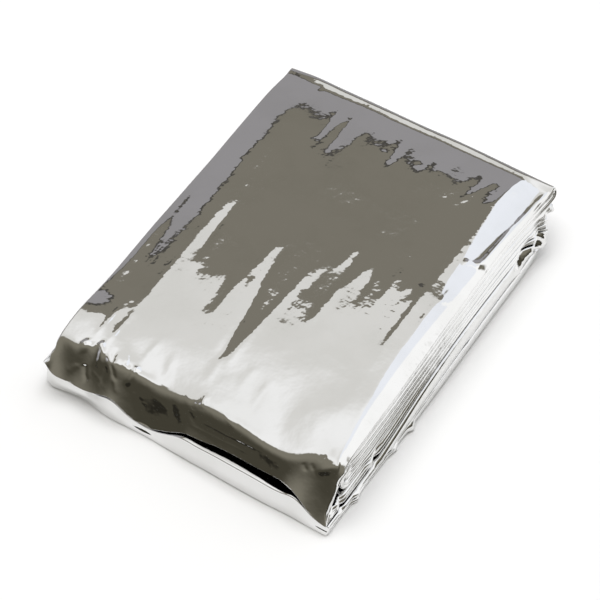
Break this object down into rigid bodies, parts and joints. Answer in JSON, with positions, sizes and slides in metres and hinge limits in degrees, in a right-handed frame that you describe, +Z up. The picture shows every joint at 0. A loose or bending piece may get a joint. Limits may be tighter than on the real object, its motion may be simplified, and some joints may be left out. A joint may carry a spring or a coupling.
{
  "type": "folded emergency foil blanket",
  "caption": "Metallised film rescue blanket folded into a flat pack: nested layers, a big sloping fold along the front over a low folded strip.",
  "frame": {"origin": "middle of the bottom, on the surface that the pack lies on", "axes": "+X across the pack, +Y along it from the big front fold towards the back folds, +Z up"},
  "size_m": [0.0919, 0.1245, 0.0206],
  "materials": {
    "metallised_film": "bare metallised polyester film, mirror bright, finely creased"
  },
  "bodies": {
    "root": {"foil_blanket": "metallised_film"}
  },
  "joints": []
}
